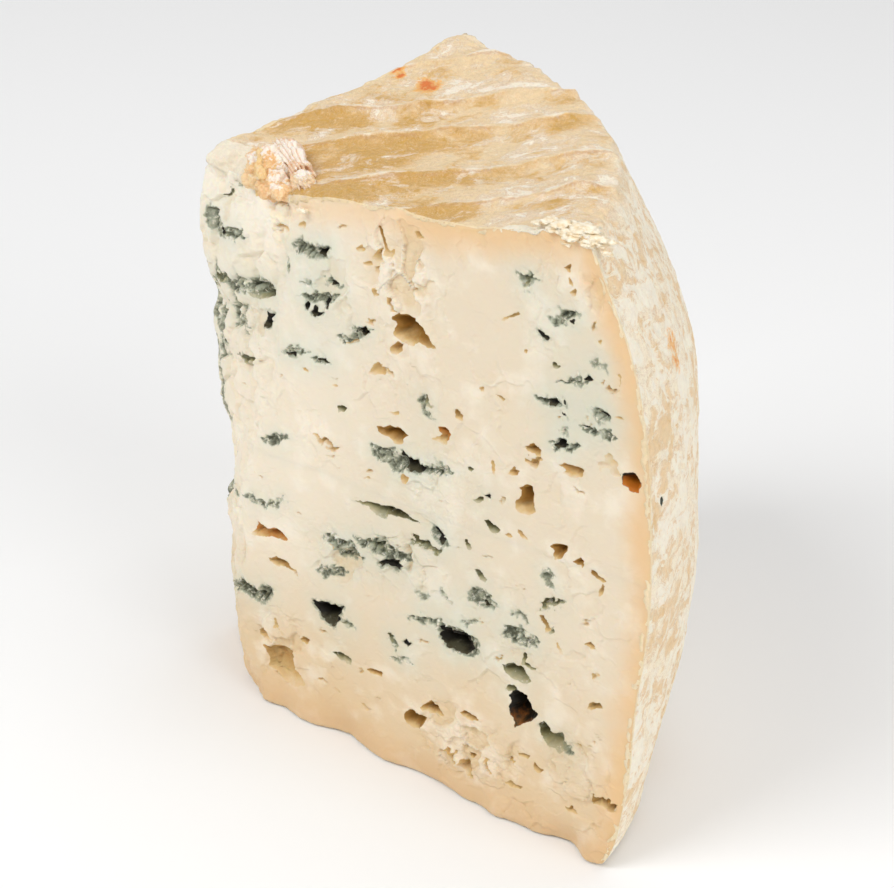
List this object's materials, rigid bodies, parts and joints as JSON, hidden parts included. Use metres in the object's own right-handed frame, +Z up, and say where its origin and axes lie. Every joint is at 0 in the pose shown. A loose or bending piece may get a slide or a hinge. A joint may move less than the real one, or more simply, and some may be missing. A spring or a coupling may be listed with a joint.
{
  "type": "blue cheese wedge",
  "caption": "Tall wedge cut from a small wheel of blue-veined cheese, with ridged rind on top and wall, two open cut sides with moulded hollows, a broken nose and a flat base to rest on",
  "frame": {"origin": "centre of the bounding box in plan, on the plane of the flat base", "axes": "+Z up from the base to the ridged top; the front cut side faces -Y and runs along X, with the broken nose towards -X and the rind wall towards +X"},
  "size_m": [0.0942, 0.0746, 0.1019],
  "materials": {
    "cheese": "soft, moist, slightly translucent ivory paste with blue-green marbling and a dry ochre to cream rind"
  },
  "bodies": {
    "root": {"cheese_wedge": "cheese"}
  },
  "joints": []
}
